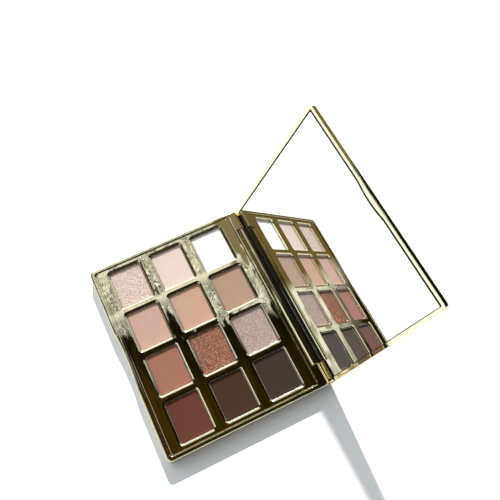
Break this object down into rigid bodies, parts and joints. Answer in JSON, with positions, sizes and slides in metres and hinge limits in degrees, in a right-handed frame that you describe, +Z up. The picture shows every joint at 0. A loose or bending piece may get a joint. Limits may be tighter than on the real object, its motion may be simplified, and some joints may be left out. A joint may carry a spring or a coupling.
{
  "type": "eyeshadow palette",
  "caption": "Hinged gold eyeshadow compact standing open, with pressed shades in metal pans set in a gold deck and a full mirror in the lid.",
  "frame": {"origin": "on the base's underside, midway between its sides and 51.8 mm in front of its back edge", "axes": "+X along the hinge to the right as the user sits, +Y from the front finger notch towards the hinge, +Z up"},
  "size_m": [0.127, 0.1493, 0.0979],
  "materials": {
    "shell_gold": "vacuum-metallised pale gold, mirror gloss",
    "deck_gold": "vacuum-metallised pale gold, mirror gloss, slightly wavy",
    "label_paper": "blank paper label, matte",
    "tin": "drawn tin, satin",
    "pin_steel": "plain steel pin",
    "magnet": "nickel-plated magnet",
    "keeper_steel": "plain steel strip",
    "mirror_glass": "silvered glass",
    "adhesive_pad": "double-sided foam tape",
    "panel_gold": "anodised satin gold",
    "shade_front_1": "pressed powder, glitter",
    "shade_front_2": "pressed powder, matte",
    "shade_front_3": "pressed powder, matte",
    "shade_front_4": "pressed powder, matte",
    "shade_middle_1": "pressed powder, matte",
    "shade_middle_2": "pressed powder, matte",
    "shade_middle_3": "pressed powder, glitter",
    "shade_middle_4": "pressed powder, matte",
    "shade_back_1": "pressed powder, matte",
    "shade_back_2": "pressed powder, matte",
    "shade_back_3": "pressed powder, shimmer",
    "shade_back_4": "pressed powder, matte"
  },
  "bodies": {
    "base": {"base_shell": "shell_gold", "base_label": "label_paper", "deck_tray": "deck_gold", "tin_front_1": "tin", "shade_front_1": "shade_front_1", "tin_front_2": "tin", "shade_front_2": "shade_front_2", "tin_front_3": "tin", "shade_front_3": "shade_front_3", "tin_front_4": "tin", "shade_front_4": "shade_front_4", "tin_middle_1": "tin", "shade_middle_1": "shade_middle_1", "tin_middle_2": "tin", "shade_middle_2": "shade_middle_2", "tin_middle_3": "tin", "shade_middle_3": "shade_middle_3", "tin_middle_4": "tin", "shade_middle_4": "shade_middle_4", "tin_back_1": "tin", "shade_back_1": "shade_back_1", "tin_back_2": "tin", "shade_back_2": "shade_back_2", "tin_back_3": "tin", "shade_back_3": "shade_back_3", "tin_back_4": "tin", "shade_back_4": "shade_back_4", "hinge_pin_left": "pin_steel", "base_magnet_left": "magnet", "hinge_pin_right": "pin_steel", "base_magnet_right": "magnet"},
    "lid": {"lid_shell": "shell_gold", "mirror": "mirror_glass", "mirror_adhesive_pad": "adhesive_pad", "lid_panel": "panel_gold", "lid_keeper_left": "keeper_steel", "lid_keeper_right": "keeper_steel"}
  },
  "joints": [
    {"name": "lid_hinge", "type": "hinge", "parent": "base", "child": "lid", "pos_m": [0, 0.0494, 0.0059], "axis": [-1, 0, 0], "range_deg": [-113.9, 0]}
  ]
}
